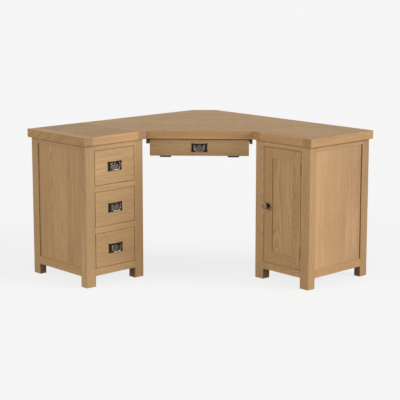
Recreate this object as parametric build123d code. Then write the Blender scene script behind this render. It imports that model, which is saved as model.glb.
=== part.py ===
from build123d import *

import os

# Corner desk: two pedestals against two walls, joined by a corner top that carries a keyboard
# tray with a drop front. Millimetres, +Z up, the origin on the floor at the centre of the
# square that the desk covers. The walls are at -X and +Y, and the room corner is at (-X, +Y).

# Driving dimensions
height = 780
wall_run = 1286
wing_depth = 486
top_thickness = 44
pedestal_top_width = 411
corner_cut = 97
arris = 2.5

# Tops
end_board_width = 56
tongue_length = 14
tongue_thickness = 14

# Pedestal carcass
outer_overhang = 20
inner_overhang = 14
front_overhang = 16
back_overhang = 9
front_leg_width = 58
front_leg_depth = 49
back_leg_width = 39
back_leg_depth = 54
floor_gap = 56
leg_arris = 1.5

# Rails and panels
side_rail_thickness = 20
side_top_rail_height = 26
side_base_rail_height = 43
panel_recess = 6
side_panel_thickness = 8
groove_depth = 8
tenon_length = 15
tenon_shoulder = 4
front_rail_depth = 45
front_tenon_inset = 8
front_tenon_thickness = 21
base_rail_height = 38
opening_height = 183
divider_height = 32
back_rail_thickness = 22
back_top_rail_height = 30
back_panel_thickness = 6
bottom_thickness = 9
bottom_groove = 5
bottom_rise = {"left": 6, "right": 24}
bracket_places = (110, 360)
bracket_length = 20
bracket_reach = 22
bracket_drop = 18
bracket_thickness = 2

# Drawers
gap = 2
front_arris = 1
front_thickness = 20
drawer_side_thickness = 12
drawer_side_height = 150
drawer_depth = 395
drawer_bottom_thickness = 6
drawer_bottom_rise = 10
tail_length = 13
tail_count = 4
tail_half_base = 9
tail_half_end = 12
runner_thickness = 16
runner_reach = 22
guide_thickness = 18
guide_height = 30
runner_proud = 1.5

# Bail handle, and how much larger the drawers' handles are than the drop front's
plate_width = 85
plate_height = 46
drawer_handle_size = 1.1
plate_thickness = 2.2
plate_bevel = 0.9
plate_scallop = 2
post_spacing = 30
post_rise = 13
post_radius = 5.5
post_rounding = 2.5
post_length = 12
post_axis = 7
bail_radius = 2.1
bail_clearance = 0.07
bail_half_width = 26
bail_drop = 30
bail_shoulder_drop = 14
bail_foot_half_width = 20
bail_end_gap = 1.5
bail_bends = [5, 8, 9, 9, 8, 5]
screw_radius = 2
screw_head_radius = 4.2
screw_head_height = 2.4
screw_head_rounding = 1.4

# Door
stile_width = 60
door_top_rail = 53
door_base_rail = 65
door_thickness = 20
door_tenon_length = 30
door_tenon_inset = 6
door_tenon_shoulder = 8
door_panel_thickness = 8
door_panel_recess = 4
hinge_gap = 2.2
hinge_height = 60
hinge_inset = 62
leaf_thickness = 1
leaf_setback = 0.9
leaf_depth = 20
door_knuckle_radius = 2
door_pin_radius = 1
door_pin_end = 2
running_clearance = 0.05
knuckle_gap = 0.3
knuckle_standoff = 1.2
knob_radius = 17
knob_collar_radius = 11
knob_neck_radius = 6
knob_reach = 31
catch_place = (-100, -60)
catch_height = 12
catch_gap = 2
catch_depth = 16
strike_thickness = 1.5
strike_band = (4, 16)

# Cabinet inside
shelf_level = 395
shelf_thickness = 18
shelf_batten = 20
shelf_gap = 2
shelf_setback = 5

# Keyboard tray, along the diagonal edge of the corner top
tray_setback = 12
drop_front_width = 519
drop_front_thickness = 18
drop_front_top_gap = 3
drop_front_height = 87
tray_board = 12
tray_depth = 330
tray_top_gap = 5
tray_back_height = 42
tray_gap = 0.5
hanger_inset = 2.5
runner_space = 15
hanger_width = 16
hanger_height = 26
hanger_beyond = 10
channel_wall = 1.2
channel_drop = 3
channel_height = 17
channel_depth = 8.5
channel_beyond = 4
slide_clearance = 1.8
slide_inset = 1
tray_hinge_width = 58
tray_hinge_offset = 178.5
tray_knuckle_radius = 5
tray_pin_radius = 2.5
tray_pin_end = 1
tray_leaf_thickness = 2
tray_leaf_depth = 16
tray_leaf_start = 4.7

# Corner top battens
batten_width = 40
batten_height = 30
batten_length = 340
batten_start = 60

# Levels and lengths worked out from the above
underside = height - top_thickness
carcass_width = pedestal_top_width - outer_overhang - inner_overhang
half_carcass = carcass_width / 2
half_opening = half_carcass - front_leg_width
carcass_front = front_overhang
carcass_back = wing_depth - back_overhang
front_leg_back = carcass_front + front_leg_depth
back_leg_front = carcass_back - back_leg_depth
pedestal_centre = wall_run / 2 - outer_overhang - half_carcass
wing_front = wall_run / 2 - wing_depth
seam = wall_run / 2 - pedestal_top_width
base_level = floor_gap + base_rail_height
opening_levels = [base_level + i * (opening_height + divider_height) for i in range(3)]
side_rail_inside = half_carcass - side_rail_thickness
panel_outside = half_carcass - panel_recess

# Each pedestal is drawn facing -Y, with its carcass centred on X = 0 and its top's front
# edge on Y = 0. The left one then turns to face +X.
PEDESTALS = {
    "left": (Location((-wing_front, -pedestal_centre, 0), (0, 0, 90)), -1),
    "right": (Location((pedestal_centre, wing_front, 0)), 1),
}

# The tray is drawn with its width along X, its front towards -Y and the middle of the
# diagonal edge at the origin.
diagonal_offset = (seam - wing_front) / 2
TRAY = Location((diagonal_offset, -diagonal_offset, 0), (0, 0, 45))

parts = {}


def block(x, y, z):
    """A box from its low and high coordinates on each axis."""
    low, high = zip(sorted(x), sorted(y), sorted(z))
    size = [b - a for a, b in zip(low, high)]
    middle = [(a + b) / 2 for a, b in zip(low, high)]
    return Pos(*middle) * Box(*size)


def both_sides(x, y, z):
    """A box and its mirror image across X = 0."""
    return [block(x, y, z), block([-v for v in x], y, z)]


def rounded(solid, radius):
    """The same box with all its edges rounded."""
    return fillet(solid.edges(), radius)


def rod(start, end, radius):
    """A round bar between two points."""
    axis = Vector(*end) - Vector(*start)
    plane = Plane(origin=start, z_dir=axis)
    return extrude(plane * Circle(radius), axis.length)


def solids_of(shapes):
    """Every solid in a list of shapes."""
    found = []
    for shape in shapes:
        found += list(shape.solids())
    return found


def cut_by(shapes, tools):
    """The shapes with the tools' space removed from each."""
    cut = []
    for shape in shapes:
        for tool in tools:
            shape = shape - tool
        cut.append(shape)
    return cut


def add(name, location, shapes):
    """Places shapes and files them under a node's name."""
    parts.setdefault(name, []).extend(solids_of([location * shape for shape in shapes]))


def make_pedestal_top(side, location, outer):
    """Edge-glued boards between two end boards, joined by tongues."""
    centre = outer * (outer_overhang - inner_overhang) / 2
    low = centre - pedestal_top_width / 2
    high = centre + pedestal_top_width / 2
    across = (0, wing_depth)
    slab = rounded(block((low, high), across, (underside, height)), arris)
    middle = underside + top_thickness / 2
    tongue_z = (middle - tongue_thickness / 2, middle + tongue_thickness / 2)
    tongue_y = (groove_depth, wing_depth - groove_depth)
    ends = []
    for edge, inward in ((low, 1), (high, -1)):
        joint = edge + inward * end_board_width
        end_space = block((edge, joint), across, (underside, height))
        tongue = block((joint, joint - inward * tongue_length), tongue_y, tongue_z)
        ends.append((slab & end_space) - tongue)
    add(f"{side}_top", location, [slab - ends[0] - ends[1]])
    add(f"{side}_top_end_boards", location, ends)


def make_rails(side):
    """The rails of one pedestal with their tenons, by node name."""
    side_y = (front_leg_back, back_leg_front)
    side_x = (side_rail_inside, half_carcass)
    side_levels = [
        (floor_gap, floor_gap + side_base_rail_height),
        (underside - side_top_rail_height, underside),
    ]
    tenon_x = (side_rail_inside + tenon_shoulder, half_carcass - tenon_shoulder)
    tenon_y = (side_y[0] - tenon_length, side_y[1] + tenon_length)
    side_rails = []
    for low, high in side_levels:
        bodies = both_sides(side_x, side_y, (low, high))
        tenons = both_sides(tenon_x, tenon_y, (low + tenon_shoulder, high - tenon_shoulder))
        side_rails += [body + tenon for body, tenon in zip(bodies, tenons)]

    front_y = (carcass_front, carcass_front + front_rail_depth)
    levels = [(floor_gap, base_level), (opening_levels[-1] + opening_height, underside)]
    if side == "left":
        levels += [(level - divider_height, level) for level in opening_levels[1:]]
    front_rails = []
    for low, high in levels:
        body = block((-half_opening, half_opening), front_y, (low, high))
        tenon = block(
            (-half_opening - tenon_length, half_opening + tenon_length),
            (front_y[0] + front_tenon_inset, front_y[0] + front_tenon_inset + front_tenon_thickness),
            (low + tenon_shoulder, high - tenon_shoulder),
        )
        front_rails.append(body + tenon)

    back_x = half_carcass - back_leg_width
    back_y = (carcass_back - back_rail_thickness, carcass_back)
    back_levels = [
        (floor_gap, floor_gap + side_base_rail_height),
        (underside - back_top_rail_height, underside),
    ]
    back_rails = []
    for low, high in back_levels:
        body = block((-back_x, back_x), back_y, (low, high))
        tenon = block(
            (-back_x - tenon_length, back_x + tenon_length),
            (back_y[0] + tenon_shoulder, back_y[1] - tenon_shoulder),
            (low + tenon_shoulder, high - tenon_shoulder),
        )
        back_rails.append(body + tenon)
    return side_rails, front_rails, back_rails


def make_panels():
    """The side panels and the back panel of one pedestal, grown into their grooves."""
    panel_z = (
        floor_gap + side_base_rail_height - groove_depth,
        underside - side_top_rail_height + groove_depth,
    )
    side_panels = both_sides(
        (panel_outside - side_panel_thickness, panel_outside),
        (front_leg_back - groove_depth, back_leg_front + groove_depth),
        panel_z,
    )
    half_back = half_carcass - back_leg_width + groove_depth
    back_middle = carcass_back - back_rail_thickness / 2
    back_z = (panel_z[0], underside - back_top_rail_height + groove_depth)
    back_panel = block(
        (-half_back, half_back),
        (back_middle - back_panel_thickness / 2, back_middle + back_panel_thickness / 2),
        back_z,
    )
    return side_panels, back_panel


def make_carcass(side, location):
    """Legs, rails, panels and bottom, each housed in its neighbours."""
    side_rails, front_rails, back_rails = make_rails(side)
    side_panels, back_panel = make_panels()
    leg_z = (0, underside)
    front_legs = both_sides((half_opening, half_carcass), (carcass_front, front_leg_back), leg_z)
    back_legs = both_sides(
        (half_carcass - back_leg_width, half_carcass), (back_leg_front, carcass_back), leg_z
    )
    front_legs = [rounded(leg, leg_arris) for leg in front_legs]
    back_legs = [rounded(leg, leg_arris) for leg in back_legs]

    bottom_level = floor_gap + bottom_rise[side]
    bottom = block(
        (-side_rail_inside - bottom_groove, side_rail_inside + bottom_groove),
        (carcass_front + front_rail_depth - bottom_groove,
         carcass_back - back_rail_thickness + bottom_groove),
        (bottom_level, bottom_level + bottom_thickness),
    )
    housed = side_rails + front_rails + back_rails + side_panels + [back_panel]
    [bottom] = cut_by([bottom], front_legs + back_legs)
    add(f"{side}_front_legs", location, cut_by(front_legs, housed))
    add("back_legs", location, cut_by(back_legs, housed))
    add(f"{side}_side_rails", location, cut_by(side_rails, side_panels + [bottom]))
    add(f"{side}_side_panels", location, side_panels)
    add(f"{side}_front_rails", location, cut_by(front_rails, [bottom]))
    add("back_rails", location, cut_by(back_rails, [back_panel, bottom]))
    add(f"{side}_back_panel", location, [back_panel])
    add("bottom_panels", location, [bottom])

    for y in bracket_places:
        along = (y, y + bracket_length)
        flat_z = (underside - bracket_thickness, underside)
        upright = both_sides(
            (side_rail_inside - bracket_thickness, side_rail_inside),
            along,
            (underside - bracket_drop, flat_z[0]),
        )
        flat = both_sides((side_rail_inside - bracket_reach, side_rail_inside), along, flat_z)
        add("top_fixing_brackets", location, [a + b for a, b in zip(upright, flat)])


def plate_outline(size):
    """A handle plate's outline: pointed corners with shallow curves between them."""
    x, z = plate_width * size / 2, plate_height * size / 2
    corners = [(-x, -z), (x, -z), (x, z), (-x, z)]
    middles = [(0, -z + plate_scallop), (x - plate_scallop, 0),
               (0, z - plate_scallop), (-x + plate_scallop, 0)]
    edges = []
    for i, corner in enumerate(corners):
        edges.append(ThreePointArc(corner, middles[i], corners[(i + 1) % 4]))
    return make_face(edges)


def make_handle(name, bail_name, location, board_thickness, size):
    """A plate with two posts, its two screws, and the bail that swings in the posts."""
    facing = Plane(origin=(0, 0, 0), x_dir=(1, 0, 0), z_dir=(0, -1, 0))
    plate = extrude(facing * plate_outline(size), plate_thickness)
    plate = chamfer(plate.faces().sort_by(Axis.Y)[0].edges(), plate_bevel)
    axis_y = -plate_thickness - post_axis
    rise = post_rise * size
    post_x = post_spacing * size / 2
    screws = []
    for x in (-post_x, post_x):
        post = rod((x, 0, rise), (x, -plate_thickness - post_length, rise), post_radius)
        tip = post.faces().sort_by(Axis.Y)[0]
        post = fillet(tip.edges(), post_rounding)
        bore = rod(
            (x - post_radius * 2, axis_y, rise),
            (x + post_radius * 2, axis_y, rise),
            bail_radius + bail_clearance,
        )
        plate = (plate + post) - bore
        back = board_thickness
        shank = rod((x, 0, rise), (x, back, rise), screw_radius)
        head = rod((x, back, rise), (x, back + screw_head_height, rise), screw_head_radius)
        head = fillet(head.faces().sort_by(Axis.Y)[-1].edges(), screw_head_rounding)
        screws.append(shank + head)

    inner = post_x - post_radius - bail_end_gap
    half_width = bail_half_width * size
    half = [
        (inner, axis_y, rise),
        (half_width, axis_y, rise),
        (half_width, axis_y, rise - bail_shoulder_drop * size),
        (bail_foot_half_width * size, axis_y, rise - bail_drop * size),
    ]
    points = [(-x, y, z) for x, y, z in half] + half[::-1]
    path = FilletPolyline(*points, radius=bail_bends)
    section = Plane(origin=path @ 0, z_dir=path % 0) * Circle(bail_radius)
    bail = sweep(section, path=path)
    add(name, location, [plate] + screws)
    add(bail_name, location, [bail])
    return screws


def make_drawer(number, location, level):
    """One drawer: front, dovetailed sides, back, bottom and handle."""
    half_front = half_opening - gap
    low, high = level + gap, level + opening_height - gap
    front_y = (carcass_front, carcass_front + front_thickness)
    inside = half_front - drawer_side_thickness
    end_y = front_y[0] + drawer_depth
    side_top = low + drawer_side_height

    pitch = drawer_side_height / tail_count
    outline = [(end_y, low), (front_y[1], low)]
    for i in range(tail_count):
        z = low + pitch * (i + 0.5)
        tip = front_y[1] - tail_length
        outline += [(front_y[1], z - tail_half_base), (tip, z - tail_half_end)]
        outline += [(tip, z + tail_half_end), (front_y[1], z + tail_half_base)]
    outline += [(front_y[1], side_top), (end_y, side_top)]
    profile = Plane.YZ * make_face(Polyline(*outline, close=True))
    sides = [
        Pos(inside, 0, 0) * extrude(profile, drawer_side_thickness),
        Pos(-half_front, 0, 0) * extrude(profile, drawer_side_thickness),
    ]
    bottom_z = (low + drawer_bottom_rise, low + drawer_bottom_rise + drawer_bottom_thickness)
    bottom_reach = inside + drawer_side_thickness / 2
    bottom = block(
        (-bottom_reach, bottom_reach),
        (front_y[1] - bottom_groove, end_y - bottom_groove),
        bottom_z,
    )
    back = block(
        (-inside - bottom_groove, inside + bottom_groove),
        (end_y - drawer_side_thickness - bottom_groove, end_y - bottom_groove),
        (bottom_z[1], side_top - bottom_groove),
    )
    sides = cut_by(sides, [bottom, back])
    front = block((-half_front, half_front), front_y, (low, high))
    front = rounded(front, front_arris)

    name = f"drawer_{number}"
    handle_at = Pos(0, carcass_front, (low + high) / 2)
    screws = make_handle(
        f"{name}_handle", f"{name}_bail", location * handle_at, front_thickness, drawer_handle_size
    )
    screws = [handle_at * screw for screw in screws]
    [front] = cut_by([front], sides + [bottom] + screws)
    add(f"{name}_front", location, [front])
    add(f"{name}_sides", location, sides)
    add(f"{name}_back", location, [back])
    add(f"{name}_bottom", location, [bottom])


def make_drawer_runners(location):
    """A runner with a side guide at each side of each opening."""
    along = (front_leg_back, back_leg_front)
    for level in opening_levels:
        top = level + runner_proud
        flats = both_sides(
            (half_opening - runner_reach, side_rail_inside), along, (top - runner_thickness, top)
        )
        guides = both_sides(
            (half_opening, half_opening + guide_thickness), along, (top, top + guide_height)
        )
        add("drawer_runners", location, [a + b for a, b in zip(flats, guides)])


def make_knob(face, x, z):
    """A turned knob with its collar, and the screw through the stile."""
    rim = [
        (knob_collar_radius, 0),
        (knob_collar_radius, knob_reach * 0.12),
        (knob_neck_radius + 0.5, knob_reach * 0.2),
        (knob_neck_radius, knob_reach * 0.45),
        (knob_radius, knob_reach * 0.62),
        (knob_radius * 0.9, knob_reach * 0.86),
        (0, knob_reach),
    ]
    outline = [
        Line((0, 0), rim[0]),
        Line(rim[0], rim[1]),
        Line(rim[1], rim[2]),
        Line(rim[2], rim[3]),
        Spline(*rim[3:], tangents=[(1, 0.3), (-1, 0)]),
        Line(rim[6], (0, 0)),
    ]
    knob = Pos(x, face, z) * Rot(180, 0, 0) * revolve(make_face(outline), Axis.Y)
    back = face + door_thickness
    shank = rod((x, face, z), (x, back, z), screw_radius)
    head = rod((x, back, z), (x, back + screw_head_height, z), screw_head_radius)
    return knob, shank + head


def make_door_hinge(location, face, half_door, base):
    """A butt hinge in the gap beside the door, its knuckles just proud of the face."""
    axis_x = (half_door + half_opening) / 2
    axis_y = face - knuckle_standoff
    third = hinge_height / 3
    whole = (base, base + hinge_height)
    ends = [(base, base + third), (whole[1] - third, whole[1])]
    middle = (base + third + knuckle_gap, whole[1] - third - knuckle_gap)
    fixed_x = (half_opening - leaf_thickness, half_opening)
    door_x = (half_door, half_door + leaf_thickness)
    leaf_y = (face + leaf_setback, face + leaf_depth)
    link_y = (axis_y, leaf_y[0] + leaf_thickness)

    def bar(z, radius):
        return rod((axis_x, axis_y, z[0]), (axis_x, axis_y, z[1]), radius)

    pin_z = (whole[0] - door_pin_end, whole[1] + door_pin_end)
    fixed = block(fixed_x, leaf_y, whole) + bar(pin_z, door_pin_radius)
    for z in ends:
        fixed = fixed + block(fixed_x, link_y, z) + bar(z, door_knuckle_radius)
    swinging = block(door_x, leaf_y, whole) + block(door_x, link_y, middle)
    swinging = swinging + bar(middle, door_knuckle_radius)
    swinging = swinging - bar(pin_z, door_pin_radius + running_clearance)
    add("door_hinge_fixed_leaves", location, [fixed])
    add("door_hinge_door_leaves", location, [swinging])


def make_door(location):
    """The frame-and-panel door with its hinges, knob, catch and strike."""
    face = carcass_front
    half_door = half_opening - hinge_gap
    low, high = base_level + gap, opening_levels[-1] + opening_height - gap
    y = (face, face + door_thickness)
    stiles = both_sides((half_door - stile_width, half_door), y, (low, high))
    stiles = [rounded(stile, front_arris) for stile in stiles]
    inner = half_door - stile_width
    rails = []
    for rail_low, rail_high in ((low, low + door_base_rail), (high - door_top_rail, high)):
        body = block((-inner, inner), y, (rail_low, rail_high))
        tenon = block(
            (-inner - door_tenon_length, inner + door_tenon_length),
            (y[0] + door_tenon_inset, y[1] - door_tenon_inset),
            (rail_low + door_tenon_shoulder, rail_high - door_tenon_shoulder),
        )
        rails.append(body + tenon)
    panel_front = face + door_panel_recess
    panel = block(
        (-inner - groove_depth, inner + groove_depth),
        (panel_front, panel_front + door_panel_thickness),
        (low + door_base_rail - groove_depth, high - door_top_rail + groove_depth),
    )
    knob, knob_screw = make_knob(face, -half_door + stile_width / 2, (low + high) / 2)
    add("door_rails", location, cut_by(rails, [panel]))
    add("door_panel", location, [panel])
    add("door_knob", location, [knob, knob_screw])
    add("door_stiles", location, cut_by(stiles, rails + [panel, knob_screw]))
    for base in (low + hinge_inset, high - hinge_inset - hinge_height):
        make_door_hinge(location, face, half_door, base)

    back = face + door_thickness
    catch_y = (back + catch_gap, back + catch_gap + catch_depth)
    opening_top = high + gap
    catch = block(catch_place, catch_y, (opening_top - catch_height, opening_top))
    strike_z = (high - strike_band[1], high - strike_band[0])
    strike = block(catch_place, (back, back + strike_thickness), strike_z)
    add("door_catch", location, [catch])
    add("door_strike", location, [strike])


def make_cabinet_inside(location):
    """The shelf, notched round the back legs, on two battens between the legs."""
    shelf_z = (shelf_level, shelf_level + shelf_thickness)
    inside = panel_outside - side_panel_thickness
    half_shelf = inside - shelf_gap
    shelf = block(
        (-half_shelf, half_shelf),
        (front_leg_back + shelf_setback, carcass_back - back_rail_thickness + shelf_setback),
        shelf_z,
    )
    notch_x = (half_carcass - back_leg_width - shelf_gap, half_carcass)
    notches = both_sides(notch_x, (back_leg_front - shelf_gap, carcass_back), shelf_z)
    add("cabinet_shelf", location, cut_by([shelf], notches))
    battens = both_sides(
        (inside - shelf_batten, inside),
        (front_leg_back, back_leg_front),
        (shelf_level - shelf_batten, shelf_level),
    )
    add("shelf_battens", location, battens)


def make_corner_top():
    """The corner top, with its diagonal front edge and its cut-off wall corner."""
    wall = wall_run / 2
    outline = [
        (seam, wall),
        (seam, wing_front),
        (-wing_front, -seam),
        (-wall, -seam),
        (-wall, wall - corner_cut),
        (-wall + corner_cut, wall),
    ]
    slab = extrude(make_face(Polyline(*outline, close=True)), top_thickness)
    slab = rounded(Pos(0, 0, underside) * slab, arris)
    add("corner_top", Location(), [slab])
    for location, outer in PEDESTALS.values():
        inner_face = -outer * half_carcass
        batten = block(
            (inner_face, inner_face - outer * batten_width),
            (wing_depth - batten_start - batten_length, wing_depth - batten_start),
            (underside - batten_height, underside),
        )
        add("corner_top_battens", location, [batten])


def make_tray():
    """The keyboard tray: boards, runners, hanger rails, drop front and its hinges."""
    half_front = drop_front_width / 2
    front_y = (tray_setback, tray_setback + drop_front_thickness)
    top = underside - drop_front_top_gap
    base = top - drop_front_height
    tray_y = (front_y[1] + tray_gap, front_y[1] + tray_gap + tray_depth)
    hanger_inside = half_front + hanger_inset
    half_tray = hanger_inside - runner_space
    inside = half_tray - tray_board
    floor_z = (base, base + tray_board)
    side_z = (floor_z[1], underside - tray_top_gap)
    add("tray_bottom", TRAY, [block((-half_tray, half_tray), tray_y, floor_z)])
    add("tray_sides", TRAY, both_sides((inside, half_tray), tray_y, side_z))
    back_y = (tray_y[1] - tray_board, tray_y[1])
    back_z = (floor_z[1], floor_z[1] + tray_back_height)
    add("tray_back", TRAY, [block((-inside, inside), back_y, back_z)])

    hanger_x = (hanger_inside, hanger_inside + hanger_width)
    hanger_y = (tray_setback, tray_y[1] + hanger_beyond)
    hanger_z = (underside - hanger_height, underside)
    add("keyboard_hanger_rails", TRAY, both_sides(hanger_x, hanger_y, hanger_z))

    channel_z = (underside - channel_drop - channel_height, underside - channel_drop)
    channel_y = (front_y[1] + slide_inset, tray_y[1] + channel_beyond)
    outers = both_sides((hanger_inside - channel_depth, hanger_inside), channel_y, channel_z)
    hollow = both_sides(
        (hanger_inside - channel_depth, hanger_inside - channel_wall),
        channel_y,
        (channel_z[0] + channel_wall, channel_z[1] - channel_wall),
    )
    add("keyboard_fixed_runners", TRAY, [a - b for a, b in zip(outers, hollow)])
    slide_z = (channel_z[0] + channel_wall + slide_clearance, channel_z[1] - channel_wall - slide_clearance)
    slide_x = (half_tray, hanger_inside - channel_wall - slide_inset)
    slide_y = (tray_y[0] + slide_inset, tray_y[1])
    add("tray_runners", TRAY, both_sides(slide_x, slide_y, slide_z))

    handle_at = Pos(0, front_y[0], (base + top) / 2)
    screws = make_handle(
        "drop_front_handle", "drop_front_bail", TRAY * handle_at, drop_front_thickness, 1
    )
    front = rounded(block((-half_front, half_front), front_y, (base, top)), front_arris)
    [front] = cut_by([front], [handle_at * screw for screw in screws])
    add("drop_front", TRAY, [front])
    for middle in (-tray_hinge_offset, tray_hinge_offset):
        make_tray_hinge(middle, front_y, base)


def make_tray_hinge(middle, front_y, base):
    """A hinge under the joint between the drop front and the tray's bottom."""
    axis_y = front_y[1] + tray_gap / 2
    axis_z = base - tray_knuckle_radius
    third = tray_hinge_width / 3
    whole = (middle - tray_hinge_width / 2, middle + tray_hinge_width / 2)
    ends = [(whole[0], whole[0] + third), (whole[1] - third, whole[1])]
    centre = (whole[0] + third + knuckle_gap, whole[1] - third - knuckle_gap)
    leaf_z = (base - tray_leaf_thickness, base)
    leaf_start = axis_y + tray_leaf_start

    def bar(x, radius):
        return rod((x[0], axis_y, axis_z), (x[1], axis_y, axis_z), radius)

    pin_x = (whole[0] - tray_pin_end, whole[1] + tray_pin_end)
    fixed = block(whole, (leaf_start, leaf_start + tray_leaf_depth), leaf_z)
    fixed = fixed + bar(pin_x, tray_pin_radius)
    for x in ends:
        fixed = fixed + block(x, (axis_y, leaf_start + knuckle_gap), leaf_z)
        fixed = fixed + bar(x, tray_knuckle_radius)
    swinging = block(whole, (front_y[0] + slide_inset, axis_y - tray_leaf_start), leaf_z)
    link_y = (axis_y - tray_leaf_start - knuckle_gap, axis_y)
    swinging = swinging + block(centre, link_y, leaf_z)
    swinging = swinging + bar(centre, tray_knuckle_radius)
    swinging = swinging - bar(pin_x, tray_pin_radius + running_clearance)
    add("tray_hinge_leaves", TRAY, [fixed])
    add("drop_front_hinge_leaves", TRAY, [swinging])


def write_parts():
    """One STEP file per node."""
    os.makedirs("parts", exist_ok=True)
    for name, solids in parts.items():
        shape = solids[0] if len(solids) == 1 else Compound(children=solids)
        shape.label = name
        export_step(shape, f"parts/{name}.step")


for side, (location, outer) in PEDESTALS.items():
    make_pedestal_top(side, location, outer)
    make_carcass(side, location)

left, right = PEDESTALS["left"][0], PEDESTALS["right"][0]
for number, level in enumerate(reversed(opening_levels), start=1):
    make_drawer(number, left, level)
make_drawer_runners(left)
make_door(right)
make_cabinet_inside(right)
make_corner_top()
make_tray()
write_parts()
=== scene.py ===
import math

import bpy
import numpy as np
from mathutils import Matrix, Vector


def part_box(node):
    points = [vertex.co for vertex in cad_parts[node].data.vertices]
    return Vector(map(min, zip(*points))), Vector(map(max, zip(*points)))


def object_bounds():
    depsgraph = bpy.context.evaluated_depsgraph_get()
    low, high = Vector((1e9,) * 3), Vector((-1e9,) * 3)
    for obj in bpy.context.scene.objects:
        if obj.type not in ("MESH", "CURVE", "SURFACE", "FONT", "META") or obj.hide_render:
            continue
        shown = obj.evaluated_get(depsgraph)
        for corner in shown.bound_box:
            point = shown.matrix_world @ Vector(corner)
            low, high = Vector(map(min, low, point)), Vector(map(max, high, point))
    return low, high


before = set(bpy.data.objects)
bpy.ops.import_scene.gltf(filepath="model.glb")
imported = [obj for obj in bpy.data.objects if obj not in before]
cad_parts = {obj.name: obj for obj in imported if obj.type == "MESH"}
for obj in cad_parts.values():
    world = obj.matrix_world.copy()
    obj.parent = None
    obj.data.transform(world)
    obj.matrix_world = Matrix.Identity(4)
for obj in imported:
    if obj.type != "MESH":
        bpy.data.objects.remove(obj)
cad_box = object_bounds()
scene = bpy.context.scene

X = Vector((1, 0, 0))
Y = Vector((0, 1, 0))
Z = Vector((0, 0, 1))
DIAGONAL = Vector((1, 1, 0)).normalized()   # along the desk's diagonal front edge
INTO = Vector((-1, 1, 0)).normalized()      # from that edge towards the room corner

# Camera: its place and reach in metres, where it looks in degrees, its lens in millimetres
CAMERA_PLACE = Vector((4.657, -4.334, 1.666))
CAMERA_YAW = 43.02
CAMERA_PITCH = 9.36
LENS = 110.09
SHIFT = (-0.003, -0.10)
FAR = 300

# Lamps: the way each one shines, its strength and its softness in degrees
KEY = ((-1.0, -0.55, -0.42), 2.75, 34)
FILL = ((0.3, 1.0, -0.36), 1.30, 30)

# Floors: their size, and the level, reflectance and glow of each
FLOOR_SIZE = 400
SEEN_FLOOR = (0.0, 0.15, 0.80)
BOUNCE_FLOOR = (-0.002, 0.35, 0.0)

# Sky: its strength at the horizon and high up, how high that is, and what the camera sees of it
SKY_LOW = 0.68
SKY_HIGH = 0.26
SKY_HIGH_AT = 0.8
SKY_SEEN = 0.92
WHITE = (1, 1, 1, 1)

# Woods, linear: the darkest and the lightest colour of each
OAK = ((0.33, 0.185, 0.077), (0.62, 0.388, 0.180))
OAK_TOP = ((0.35, 0.194, 0.080), (0.665, 0.407, 0.187))
MELLOW_OAK = ((0.34, 0.19, 0.084), (0.63, 0.39, 0.197))
PINK_OAK = ((0.35, 0.19, 0.10), (0.63, 0.39, 0.24))
PALE = ((0.45, 0.30, 0.16), (0.78, 0.62, 0.42))
PLY = ((0.40, 0.26, 0.13), (0.62, 0.44, 0.25))

# What shows in the wood
WARM_BOARD = (1.0, 0.985, 0.955)
COOL_BOARD = (0.985, 1.0, 1.03)
PORE = (0.20, 0.115, 0.055)
FLECK = (0.72, 0.53, 0.32)
END_TINT = (0.88, 0.82, 0.80)
END_DOT = (0.17, 0.10, 0.06)
GLUE_LINE = (0.22, 0.125, 0.055)
RUBBED_EDGE = (0.74, 0.55, 0.35)

# The lacquer's shine
GLOSS = 0.35
TOP_GLOSS = 0.18
LEFT_TOP_GLOSS = 0.14
LEFT_END_GLOSS = 0.15

# Metals and plastic
# Painted shade: the near black that the handle plates and the knob are painted with at their edges and
# side.
PAINTED_SHADE_BLACK = (0.016, 0.012, 0.009)
PEWTER = (0.15, 0.122, 0.115)
PALE_PEWTER = (0.25, 0.205, 0.165)
WORN_PEWTER = (0.22, 0.19, 0.17)
BRONZE = (0.44, 0.39, 0.31)
WORN_BRONZE = (0.60, 0.53, 0.42)
PLASTIC = ((0.06, 0.045, 0.035), (0.10, 0.075, 0.06))

# Boards: the pitch that leaves a board alone, and how far outside a node its first one starts
ALONE = 20.0
MARGIN = 0.001

# Where faces change material
EDGE_DEPTH = 0.003
LEG_SKIN = 0.001
PLATE_THICKNESS = 0.0025
LEFT_END = cad_box[0][1]
LEFT_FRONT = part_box("left_top")[1].x
NEAR_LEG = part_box("left_front_legs")[0].y
BETWEEN_LEFT_LEGS = -0.4
OUTER_BACK_LEG = 0.5


def put(tree, kind, inputs=None, **settings):
    """Adds a shader node, sets it and links or fills its inputs."""
    node = tree.nodes.new("ShaderNode" + kind)
    for name, value in settings.items():
        setattr(node, name, value)
    for key, value in (inputs or {}).items():
        if isinstance(value, bpy.types.NodeSocket):
            tree.links.new(value, node.inputs[key])
        else:
            node.inputs[key].default_value = value
    return node


def maths(tree, operation, *values, clamp=False):
    """The output of a Math node."""
    inputs = dict(enumerate(values))
    return put(tree, "Math", inputs, operation=operation, use_clamp=clamp).outputs[0]


def added(tree, *values):
    """The sum of numbers."""
    total = values[0]
    for value in values[1:]:
        total = maths(tree, "ADD", total, value)
    return total


def times(tree, first, second):
    """The product of two numbers."""
    return maths(tree, "MULTIPLY", first, second)


def vectors(tree, operation, *values):
    """The output of a Vector Math node: a vector, or the number for a dot product."""
    node = put(tree, "VectorMath", dict(enumerate(values)), operation=operation)
    return node.outputs["Value" if operation == "DOT_PRODUCT" else "Vector"]


def together(tree, x, y, z):
    """A vector of three numbers."""
    return put(tree, "CombineXYZ", {0: x, 1: y, 2: z}).outputs[0]


def apart(tree, vector):
    """The three numbers of a vector."""
    return put(tree, "SeparateXYZ", {0: vector}).outputs


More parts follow.
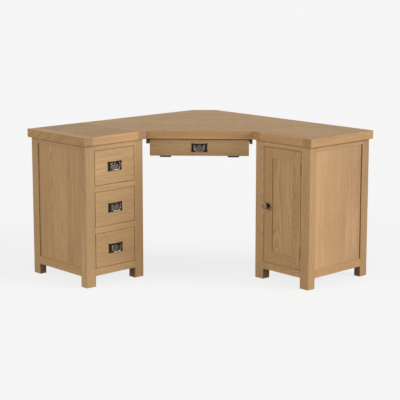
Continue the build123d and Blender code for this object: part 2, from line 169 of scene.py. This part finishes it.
def ranged(tree, value, low, high, to_low=0.0, to_high=1.0, smooth=False):
    """value carried from low..high to to_low..to_high, held at the ends."""
    inputs = {"Value": value, "From Min": low, "From Max": high, "To Min": to_low, "To Max": to_high}
    kind = "SMOOTHSTEP" if smooth else "LINEAR"
    return put(tree, "MapRange", inputs, interpolation_type=kind).outputs["Result"]


def noise(tree, vector, scales, detail=2.0, rough=0.5, colour=False):
    """Noise of a vector that is stretched by scales, in cycles per metre on each axis."""
    stretched = vectors(tree, "MULTIPLY", vector, scales)
    inputs = {"Vector": stretched, "Scale": 1.0, "Detail": detail, "Roughness": rough}
    node = put(tree, "TexNoise", inputs, noise_dimensions="3D")
    return node.outputs["Color" if colour else "Fac"]


def even_noise(tree, vector, scale, detail, rough=0.5):
    """Noise with the same scale on each axis."""
    return noise(tree, vector, (scale, scale, scale), detail, rough)


def mixed(tree, amount, first, second, blend="MIX"):
    """The output of a colour Mix node."""
    node = put(tree, "Mix", data_type="RGBA", blend_type=blend, clamp_factor=True)
    for key, value in ((0, amount), (6, first), (7, second)):
        if isinstance(value, bpy.types.NodeSocket):
            tree.links.new(value, node.inputs[key])
        else:
            node.inputs[key].default_value = value if key == 0 else (*value, 1)[:4]
    return node.outputs[2]


def edge_mask(tree, radius, samples=6):
    """1 along the convex and concave edges within radius, 0 on flat ground."""
    bevel = put(tree, "Bevel", {"Radius": radius}, samples=samples)
    geometry = put(tree, "NewGeometry")
    facing = vectors(tree, "DOT_PRODUCT", bevel.outputs["Normal"], geometry.outputs["Normal"])
    return ranged(tree, facing, 0.995, 0.80)


def find_board(group, given, position):
    """A point's place in its node and in its board, and the board's own chances."""
    out = vectors(group, "CROSS_PRODUCT", given["Along"], given["Across"])
    axes = (given["Along"], given["Across"], out)
    local = together(group, *[vectors(group, "DOT_PRODUCT", position, axis) for axis in axes])
    moved = vectors(group, "SUBTRACT", local, given["Origin"])
    cell = vectors(group, "FLOOR", vectors(group, "DIVIDE", moved, given["Pitch"]))
    middle = vectors(group, "MULTIPLY", vectors(group, "ADD", cell, (0.5, 0.5, 0.5)), given["Pitch"])
    board = vectors(group, "SUBTRACT", moved, middle)
    chance = put(group, "TexWhiteNoise", {"Vector": cell, "W": given["Seed"]}, noise_dimensions="4D")
    return local, board, chance.outputs


def early_wood(group, given, board, grain, luck, luck_along):
    """1 in the open early wood of each growth ring, falling to 0 in the late wood. The rings
    are round a pith beside the board, which leans and wanders a little."""
    parts = apart(group, board)
    bend = noise(group, grain, (1.7, 9.0, 9.0), 1.0, colour=True)
    bend = vectors(group, "MULTIPLY", vectors(group, "SUBTRACT", bend, (0.5, 0.5, 0.5)), (0, 0.05, 0.05))
    bend = apart(group, bend)
    pith_across = ranged(group, luck[0], 0, 1, -0.06, 0.06)
    pith_depth = ranged(group, luck[1], 0, 1, 0.035, 0.12)
    lean = ranged(group, luck[2], 0, 1, -0.09, 0.09)
    across = added(group, maths(group, "SUBTRACT", parts[1], pith_across), bend[1])
    depth = maths(group, "MULTIPLY_ADD", parts[0], lean, added(group, parts[2], pith_depth))
    depth = added(group, depth, bend[2])
    squares = [maths(group, "POWER", side, 2.0) for side in (across, depth)]
    radius = maths(group, "SQRT", added(group, *squares))
    season = put(group, "TexNoise", {"W": added(group, radius, luck_along), "Scale": 45.0, "Detail": 1.0},
                 noise_dimensions="1D").outputs["Fac"]
    count = added(group, maths(group, "DIVIDE", radius, given["Ring"]), times(group, season, 2.4))
    early = put(group, "ValToRGB", {0: maths(group, "FRACT", count)})
    ramp = early.color_ramp
    for element, at in zip(ramp.elements, (0.0, 1.0)):
        element.position, element.color = at, WHITE
    for at, level in ((0.16, 0.72), (0.46, 0.16), (0.9, 0.0)):
        ramp.elements.new(at).color = (level, level, level, 1)
    return early.outputs["Color"]


def wood_tone(group, given, local, early, streak, fibre, cloud, luck):
    """How light the wood is, between its darkest and its lightest colour."""
    tone = maths(group, "MULTIPLY_ADD", early, times(group, given["Figure"], -0.40), 0.60)
    for pattern, swing in ((streak, 0.13), (fibre, 0.07), (cloud, 0.10)):
        tone = added(group, tone, ranged(group, pattern, 0.3, 0.7, -swing, swing))
    shade = times(group, maths(group, "SUBTRACT", luck[2], 0.5), given["Variation"])
    # Painted light and shade: the tone is made lighter or darker along the node, by a given amount per
    # metre.
    from_low = vectors(group, "SUBTRACT", local, given["Low"])
    painted_light_fade = vectors(group, "DOT_PRODUCT", from_low, given["Fade"])
    return maths(group, "ADD", added(group, tone, shade), painted_light_fade, clamp=True)


def joint_line(group, given, board):
    """1 on the glued joint between two boards."""
    half = vectors(group, "MULTIPLY", given["Pitch"], (0.5, 0.5, 0.5))
    near = apart(group, vectors(group, "SUBTRACT", half, vectors(group, "ABSOLUTE", board)))
    return ranged(group, maths(group, "MINIMUM", near[1], near[2]), 0.0, 0.0006, 1.0, 0.0)


def make_wood_group():
    """Sawn wood: growth rings round a pith that each board has its own place in, fibres, pores
    and ray flecks, with end grain on the faces across the grain."""
    group = bpy.data.node_groups.new("sawn_wood", "ShaderNodeTree")
    kinds = {
        "Vector": ("Along", "Across", "Origin", "Pitch", "Low", "Fade"),
        "Float": ("Seed", "Ring", "Figure", "Variation"),
        "Color": ("Dark", "Light"),
    }
    for kind, names in kinds.items():
        for name in names:
            group.interface.new_socket(name, in_out="INPUT", socket_type="NodeSocket" + kind)
    for name, kind in (("Colour", "Color"), ("Roughness", "Float"), ("Height", "Float")):
        group.interface.new_socket(name, in_out="OUTPUT", socket_type="NodeSocket" + kind)
    given = group.nodes.new("NodeGroupInput").outputs
    place = put(group, "TexCoord")

    local, board, chance = find_board(group, given, place.outputs["Object"])
    luck = apart(group, chance["Color"])
    luck_along = chance["Value"]
    spread = together(group, times(group, luck_along, 9.0), times(group, luck[0], 5.0),
                      times(group, luck[1], 5.0))
    grain = vectors(group, "ADD", board, spread)
    early = early_wood(group, given, board, grain, luck, luck_along)

    streak = noise(group, grain, (2.4, 85.0, 85.0), 3.0, 0.6)
    fibre = noise(group, grain, (9.0, 620.0, 620.0), 2.0, 0.6)
    cloud = noise(group, grain, (2.2, 7.0, 7.0), 1.0)
    pore = noise(group, grain, (42.0, 1500.0, 1500.0), 1.0)
    fleck = noise(group, grain, (55.0, 330.0, 330.0), 0.0)
    patchy = ranged(group, noise(group, grain, (30.0, 60.0, 60.0), 2.0), 0.42, 0.62)
    dots = ranged(group, noise(group, grain, (700.0, 1100.0, 1100.0), 1.0), 0.52, 0.62)
    end = vectors(group, "DOT_PRODUCT", place.outputs["Normal"], given["Along"])
    end = ranged(group, maths(group, "ABSOLUTE", end), 0.55, 0.85)
    pores = times(group, ranged(group, pore, 0.60, 0.68), ranged(group, early, 0, 1, 0.25, 0.9))
    pores = times(group, pores, maths(group, "SUBTRACT", 1.0, end))

    tone = wood_tone(group, given, local, early, streak, fibre, cloud, luck)
    colour = mixed(group, tone, given["Dark"], given["Light"])
    colour = mixed(group, 1.0, colour, mixed(group, luck[1], WARM_BOARD, COOL_BOARD), "MULTIPLY")
    colour = mixed(group, times(group, pores, 0.55), colour, PORE)
    colour = mixed(group, times(group, ranged(group, fleck, 0.66, 0.72), 0.22), colour, FLECK)
    end_colour = mixed(group, 1.0, colour, END_TINT, "MULTIPLY")
    end_colour = mixed(group, times(group, dots, 0.35), end_colour, END_DOT)
    colour = mixed(group, end, colour, end_colour)
    colour = mixed(group, times(group, joint_line(group, given, board), 0.30), colour, GLUE_LINE)
    rubbed = times(group, times(group, edge_mask(group, 0.0016), patchy), 0.35)
    colour = mixed(group, rubbed, colour, RUBBED_EDGE)

    rough = maths(group, "MULTIPLY_ADD", early, 0.07, 0.40)
    rough = added(group, rough, ranged(group, cloud, 0.3, 0.7, -0.04, 0.04))
    rough = maths(group, "MULTIPLY_ADD", end, 0.16, rough)
    rough = maths(group, "MULTIPLY_ADD", pores, 0.2, rough)
    height = maths(group, "MULTIPLY_ADD", early, -0.35, 1.0)
    height = maths(group, "MULTIPLY_ADD", pores, -0.9, height)
    height = added(group, height, ranged(group, fibre, 0.3, 0.7, -0.12, 0.12))

    result = group.nodes.new("NodeGroupOutput").inputs
    for name, value in (("Colour", colour), ("Roughness", rough), ("Height", height)):
        group.links.new(value, result[name])
    return group


WOOD_GROUP = make_wood_group()


def new_material(name):
    """An empty node material and its tree."""
    material = bpy.data.materials.new(name)
    material.use_nodes = True
    material.node_tree.nodes.clear()
    return material, material.node_tree


def finish_material(tree, shader):
    """Joins a shader to the material's output."""
    output = put(tree, "OutputMaterial")
    tree.links.new(shader.outputs[0], output.inputs["Surface"])


def bumped(tree, strength, distance, height):
    """A normal that follows a height."""
    inputs = {"Strength": strength, "Distance": distance, "Height": height}
    return put(tree, "Bump", inputs).outputs["Normal"]


def corners(node, axes):
    """The lowest and highest values of a CAD node along some axes."""
    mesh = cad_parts[node].data
    points = np.array([v.co for v in mesh.vertices], float)
    along = points @ np.array([list(a) for a in axes]).T
    return along.min(0), along.max(0)


def shaded(colours, amount):
    """A pair of colours made lighter or darker."""
    return tuple(tuple(c * amount for c in colour) for colour in colours)


def board_grid(low, high, boards):
    """Where a node's first board starts on each axis, and the pitch of the boards."""
    origin, pitch = [], []
    for start, end, count in zip(low, high, boards):
        if count == 1:
            pitch.append(ALONE)
            origin.append((start + end) / 2 - ALONE / 2)
        else:
            size = end - start + 2 * MARGIN
            pitch.append(count if count < 1 else size / count)
            origin.append(start - MARGIN)
    return origin, pitch


def wood(node, along, across, colours, boards=(1, 1, 1), ring=0.0048, figure=0.6,
         variation=0.14, painted_light_fade=(0, 0, 0), gloss=GLOSS, where=None):
    """Gives a CAD node a wood material. boards is how many boards it is along each of its own
    three axes, or the pitch in metres where it is below 1. The fade argument is how much lighter
    it is painted per metre along them, as painted light and shade. gloss is the lacquer's shine.
    where picks the faces."""
    axes = (along, across, along.cross(across))
    low, high = corners(node, axes)
    origin, pitch = board_grid(low, high, boards)
    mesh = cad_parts[node].data
    name = node if where is None else f"{node}_{len(mesh.materials)}"
    material, tree = new_material(name)
    seed = sum(ord(c) * (i + 3) for i, c in enumerate(name)) % 97
    grain = put(tree, "Group", node_tree=WOOD_GROUP)
    values = {
        "Along": along, "Across": across, "Origin": origin, "Pitch": pitch, "Low": low, "Fade": painted_light_fade,
        "Seed": seed, "Ring": ring, "Figure": figure, "Variation": variation,
        "Dark": (*colours[0], 1), "Light": (*colours[1], 1),
    }
    for key, value in values.items():
        grain.inputs[key].default_value = value
    finish_material(tree, put(tree, "BsdfPrincipled", {
        "Base Color": grain.outputs["Colour"], "Roughness": grain.outputs["Roughness"],
        "Normal": bumped(tree, 0.35, 0.0004, grain.outputs["Height"]), "Specular IOR Level": gloss,
    }))
    if where is None:
        mesh.materials.clear()
    mesh.materials.append(material)
    if where is not None:
        for face in mesh.polygons:
            if where(face.center):
                face.material_index = len(mesh.materials) - 1


def metal_material(name, base, worn, rough, wear, pitted, metallic=1.0, painted_shade=None):
    """Cast or rolled metal with rubbed edges and a fine uneven surface. The optional mask,
    called with tree and place, says where it is painted nearly black as painted shade."""
    material, tree = new_material(name)
    place = put(tree, "TexCoord").outputs["Object"]
    blotch = even_noise(tree, place, 120.0, 3.0, 0.6)
    fine = even_noise(tree, place, 900.0, 3.0, 0.6)
    colour = mixed(tree, ranged(tree, blotch, 0.35, 0.65), base, [c * 1.5 for c in base])
    # Painted shade: where the mask says, the colour is painted nearly black.
    if painted_shade:
        colour = mixed(tree, times(tree, painted_shade(tree, place), 0.9), colour, PAINTED_SHADE_BLACK)
    rubbed = times(tree, edge_mask(tree, 0.0012, 8), ranged(tree, blotch, 0.3, 0.6))
    colour = mixed(tree, times(tree, rubbed, wear), colour, worn)
    roughness = ranged(tree, blotch, 0.3, 0.7, rough - 0.07, rough + 0.09)
    roughness = maths(tree, "MULTIPLY_ADD", rubbed, -0.12, roughness)
    height = added(tree, blotch, times(tree, fine, 0.35))
    finish_material(tree, put(tree, "BsdfPrincipled", {
        "Base Color": colour, "Roughness": roughness, "Metallic": metallic,
        "Normal": bumped(tree, pitted, 0.0006, height),
    }))
    return material


def plate_material(node, along, middle_colour):
    """Pewter, grey in the middle of a handle's plate and painted nearly black towards its edges as
    painted shade.
    """
    low, high = corners(node, (along, Z))
    middle, half = (low + high) / 2, (high - low) / 2

    # Painted shade: nearly black towards the plate's edges.
    def painted_rim_shade(tree, place):
        reach = []
        for i, axis in enumerate((along, Z)):
            off = maths(tree, "SUBTRACT", vectors(tree, "DOT_PRODUCT", place, axis), middle[i])
            reach.append(maths(tree, "ABSOLUTE", maths(tree, "DIVIDE", off, half[i])))
        return ranged(tree, maths(tree, "MAXIMUM", *reach), 0.52, 0.82, smooth=True)

    return metal_material(f"{node}_pewter", middle_colour, WORN_PEWTER, 0.38, 0.3, 0.35, painted_shade=painted_rim_shade)


def knob_material():
    """Bronze that is left bright on the front and painted nearly black round the side, as a painted
    highlight and painted shade.
    """
    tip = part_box("door_knob")[0].y

    # Painted shade: the side of the knob, behind its front, is painted nearly black.
    def side(tree, place):
        depth = maths(tree, "SUBTRACT", vectors(tree, "DOT_PRODUCT", place, Y), tip)
        return ranged(tree, depth, 0.0012, 0.0095, smooth=True)

    return metal_material("bronze_with_painted_shade", BRONZE, WORN_BRONZE, 0.30, 0.5, 0.04, painted_shade=side)


def catch_material():
    """Moulded dark plastic with a faint grained skin."""
    material, tree = new_material("catch_body")
    place = put(tree, "TexCoord").outputs["Object"]
    skin = even_noise(tree, place, 1800.0, 2.0)
    cloud = even_noise(tree, place, 60.0, 2.0)
    finish_material(tree, put(tree, "BsdfPrincipled", {
        "Base Color": mixed(tree, cloud, *PLASTIC),
        "Roughness": ranged(tree, cloud, 0.3, 0.7, 0.42, 0.55),
        "Normal": bumped(tree, 0.25, 0.0002, skin),
    }))
    return material


def paint(material, *names):
    """Gives CAD nodes one material."""
    for name in names:
        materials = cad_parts[name].data.materials
        materials.clear()
        materials.append(material)


def cover_tops():
    """The tops. The left pedestal's top is painted darker than its front edge: painted shade on the top
    and painted light on the edge.
    """
    six, two = (1, 6, 1), (1, 2, 1)

    def on_front(place):
        return place.x > LEFT_FRONT - EDGE_DEPTH

    def on_end(place):
        return place.y < LEFT_END + EDGE_DEPTH

    wood("left_top", Y, X, shaded(OAK_TOP, 0.88), six, gloss=LEFT_TOP_GLOSS)
    # Painted light: the left top's front edge face is painted lighter than its top.
    wood("left_top", Y, X, shaded(OAK_TOP, 1.02), six, gloss=TOP_GLOSS, where=on_front)
    wood("right_top", X, Y, OAK_TOP, six, gloss=TOP_GLOSS)
    wood("left_top_end_boards", X, Y, shaded(OAK_TOP, 1.03), two, gloss=LEFT_END_GLOSS)
    wood("left_top_end_boards", X, Y, shaded(PINK_OAK, 0.90), two, gloss=TOP_GLOSS, where=on_front)
    # Painted shade: the end boards' outer end face is painted darker than their top.
    wood("left_top_end_boards", X, Y, shaded(OAK, 0.97), two, gloss=TOP_GLOSS, where=on_end)
    wood("right_top_end_boards", Y, X, OAK_TOP, two, gloss=TOP_GLOSS)
    wood("corner_top", DIAGONAL, INTO, OAK_TOP, (1, 10, 1), gloss=TOP_GLOSS)


def cover_pedestals():
    """The two carcasses. The grain of each piece runs along it."""
    for side, width, depth in (("left", Y, X), ("right", X, Y)):
        wood(f"{side}_side_rails", depth, Z, OAK, (1, 2, 2))
        wood(f"{side}_front_rails", width, Z, OAK, (1, 0.11, 1))
        wood(f"{side}_back_panel", Z, width, PLY, figure=0.6)
    wood("right_front_legs", Z, X, shaded(OAK, 1.05), (1, 2, 1))
    wood("left_side_panels", Z, X, shaded(OAK, 1.05), (1, 3, 2), ring=0.008, figure=0.75)
    # Painted shade: the right side panels are painted darker towards the back.
    wood("right_side_panels", Z, Y, shaded(MELLOW_OAK, 1.12), (1, 3, 2), ring=0.011, figure=0.28,
         variation=0.05, painted_light_fade=(0, -1.1, 0))
    wood("bottom_panels", X, Y, PLY, figure=0.5)
    wood("drawer_runners", X, Y, PALE, (1, 2, 0.2))
    wood("cabinet_shelf", X, Y, OAK, (1, 4, 1))
    wood("shelf_battens", Y, Z, PALE, (1, 1, 2))

    # These nodes have pieces that run different ways, or faces painted lighter or darker as painted light
    # and shade.
    for node in ("left_front_legs", "back_legs", "back_rails", "corner_top_battens"):
        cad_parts[node].data.materials.clear()
    # Painted light and shade: the outer left leg's side face is painted lighter and its front darker; the
    # inner leg is a little darker.
    wood("left_front_legs", Z, Y, shaded(OAK, 0.91), where=lambda p: p.y < BETWEEN_LEFT_LEGS)
    wood("left_front_legs", Z, Y, shaded(OAK, 0.97), where=lambda p: p.y >= BETWEEN_LEFT_LEGS)
    wood("left_front_legs", Z, Y, shaded(OAK, 1.10), where=lambda p: p.y < NEAR_LEG + LEG_SKIN)
    # Painted shade: the outer back leg of the right pedestal is painted darker.
    wood("back_legs", Z, X, OAK, (1, 0.33, 0.33), where=lambda p: p.x < OUTER_BACK_LEG)
    wood("back_legs", Z, X, shaded(OAK, 0.82), where=lambda p: p.x >= OUTER_BACK_LEG)
    wood("back_rails", Y, Z, OAK, (1, 2, 1), where=lambda p: p.x < 0)
    wood("back_rails", X, Z, OAK, (1, 2, 1), where=lambda p: p.x >= 0)
    wood("corner_top_battens", X, Y, PALE, where=lambda p: p.y < 0)
    wood("corner_top_battens", Y, X, PALE, where=lambda p: p.y >= 0)


def cover_drawers():
    """The drawers, each front painted darker than the one above it, as painted shade."""
    for number, tone in ((1, 1.02), (2, 0.95), (3, 0.91)):
        wood(f"drawer_{number}_front", Y, Z, shaded(OAK, tone), ring=0.008, figure=0.3, variation=0.06)
        wood(f"drawer_{number}_sides", X, Z, PALE, (1, 1, 2), figure=0.7)
        wood(f"drawer_{number}_back", Y, Z, PALE, figure=0.7)
        wood(f"drawer_{number}_bottom", Y, X, PLY, figure=0.5)


def cover_door():
    """The door's frame and its panel, with the panel's bold figure."""
    wood("door_stiles", Z, X, OAK, (1, 2, 1))
    wood("door_rails", X, Z, OAK, (1, 2, 1))
    wood("door_panel", Z, X, shaded(OAK, 1.06), ring=0.0075, figure=0.8, variation=0.08)


def cover_tray():
    """The keyboard tray, its drop front and the rails that it hangs from."""
    # Painted light: the drop front is painted lighter towards its right end, where the right pedestal's
    # shadow falls.
    wood("drop_front", DIAGONAL, Z, shaded(OAK, 1.04), ring=0.008, figure=0.3, variation=0.06,
         painted_light_fade=(0.45, 0, 0))
    wood("tray_bottom", DIAGONAL, INTO, PALE, (1, 4, 1), figure=0.7)
    wood("tray_sides", INTO, Z, PALE, (1, 1, 2), figure=0.7)
    wood("tray_back", DIAGONAL, Z, PALE, figure=0.7)
    # Painted shade: the hanger rails are painted very dark, as the shade under the top.
    wood("keyboard_hanger_rails", INTO, Z, shaded(OAK, 0.25), (1, 1, 2))


def cover_handle(owner, board, out, along, middle_colour, bail_metal, post_metal):
    """A bail handle: its plate, the bail, and the posts, which stand out past the plate."""
    handle = f"{owner}_handle"
    paint(plate_material(handle, along, middle_colour), handle)
    paint(bail_metal, f"{owner}_bail")
    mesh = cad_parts[handle].data
    mesh.materials.append(post_metal)
    plate_front = corners(board, (out,))[1][0] + PLATE_THICKNESS
    for face in mesh.polygons:
        if face.center.dot(out) > plate_front:
            face.material_index = 1


def cover_metal():
    """The handles, hinges, runners, brackets and the catch."""
    stud = metal_material("dark_stud", (0.030, 0.024, 0.021), (0.12, 0.10, 0.09), 0.34, 0.4, 0.20)
    rubbed = metal_material("rubbed_pewter", (0.38, 0.34, 0.31), (0.60, 0.55, 0.49), 0.32, 0.9, 0.20)
    steel = metal_material("zinc_steel", (0.42, 0.42, 0.41), (0.62, 0.62, 0.61), 0.36, 0.4, 0.10)
    iron = metal_material("dark_hinge", (0.045, 0.033, 0.022), (0.12, 0.09, 0.06), 0.60, 0.5, 0.15, 0.2)
    brass = metal_material("dull_brass", (0.17, 0.115, 0.060), (0.34, 0.25, 0.14), 0.50, 0.5, 0.15, 0.5)
    for number in (1, 2, 3):
        cover_handle(f"drawer_{number}", f"drawer_{number}_front", X, Y, PEWTER, rubbed, stud)
    cover_handle("drop_front", "drop_front", -INTO, DIAGONAL, PALE_PEWTER, rubbed, stud)
    paint(knob_material(), "door_knob")
    paint(iron, "tray_hinge_leaves", "drop_front_hinge_leaves")
    paint(brass, "door_hinge_fixed_leaves", "door_hinge_door_leaves")
    paint(steel, "keyboard_fixed_runners", "tray_runners", "top_fixing_brackets", "door_strike")
    paint(catch_material(), "door_catch")


def make_floor(name, level, reflectance, glow):
    """A wide pale floor of one level, which may shine a little by itself."""
    bpy.ops.mesh.primitive_plane_add(size=FLOOR_SIZE, location=(0, 0, level))
    floor = bpy.context.object
    floor.name = name
    material, tree = new_material(name)
    diffuse = put(tree, "BsdfDiffuse", {"Color": (reflectance, reflectance, reflectance, 1)})
    shine = put(tree, "Emission", {"Color": WHITE, "Strength": glow})
    finish_material(tree, put(tree, "AddShader", {0: diffuse.outputs[0], 1: shine.outputs[0]}))
    floor.data.materials.append(material)
    return floor


def make_floors():
    """The floor that the camera sees, and a little below it the one that lights the desk."""
    seen = make_floor("pale_floor", *SEEN_FLOOR)
    seen.visible_diffuse = False
    seen.visible_glossy = False
    seen.visible_shadow = False
    bounce = make_floor("bounce_floor", *BOUNCE_FLOOR)
    bounce.visible_camera = False


def make_camera():
    """A camera at eye level, looking a little down on the desk's diagonal front."""
    data = bpy.data.cameras.new("camera")
    data.lens = LENS
    data.shift_x, data.shift_y = SHIFT
    data.clip_end = FAR
    camera = bpy.data.objects.new("camera", data)
    yaw, pitch = math.radians(CAMERA_YAW), math.radians(CAMERA_PITCH)
    level = math.cos(pitch)
    forward = Vector((-math.cos(yaw) * level, math.sin(yaw) * level, -math.sin(pitch)))
    camera.rotation_mode = "QUATERNION"
    camera.rotation_quaternion = forward.to_track_quat("-Z", "Y")
    camera.location = CAMERA_PLACE
    scene.collection.objects.link(camera)
    scene.camera = camera


def make_sun(name, towards, strength, softness):
    """A far, soft lamp that shines along a direction."""
    data = bpy.data.lights.new(name, "SUN")
    data.energy = strength
    data.angle = math.radians(softness)
    lamp = bpy.data.objects.new(name, data)
    lamp.rotation_mode = "QUATERNION"
    lamp.rotation_quaternion = Vector(towards).to_track_quat("-Z", "Y")
    scene.collection.objects.link(lamp)


def make_sky():
    """A soft sky, brighter towards the horizon, which the camera sees as one pale tone."""
    world = bpy.data.worlds.new("studio")
    world.use_nodes = True
    tree = world.node_tree
    tree.nodes.clear()
    direction = put(tree, "TexCoord").outputs["Generated"]
    strength = ranged(tree, apart(tree, direction)["Z"], 0.0, SKY_HIGH_AT, SKY_LOW, SKY_HIGH)
    soft = put(tree, "Background", {"Color": WHITE, "Strength": strength})
    pale = put(tree, "Background", {"Color": WHITE, "Strength": SKY_SEEN})
    seen = put(tree, "LightPath").outputs["Is Camera Ray"]
    shown = put(tree, "MixShader", {0: seen, 1: soft.outputs[0], 2: pale.outputs[0]})
    put(tree, "OutputWorld", {"Surface": shown.outputs[0]})
    scene.world = world
    scene.view_settings.view_transform = "Standard"


cover_tops()
cover_pedestals()
cover_drawers()
cover_door()
cover_tray()
cover_metal()
make_floors()
make_camera()
make_sun("key", *KEY)
make_sun("fill", *FILL)
make_sky()
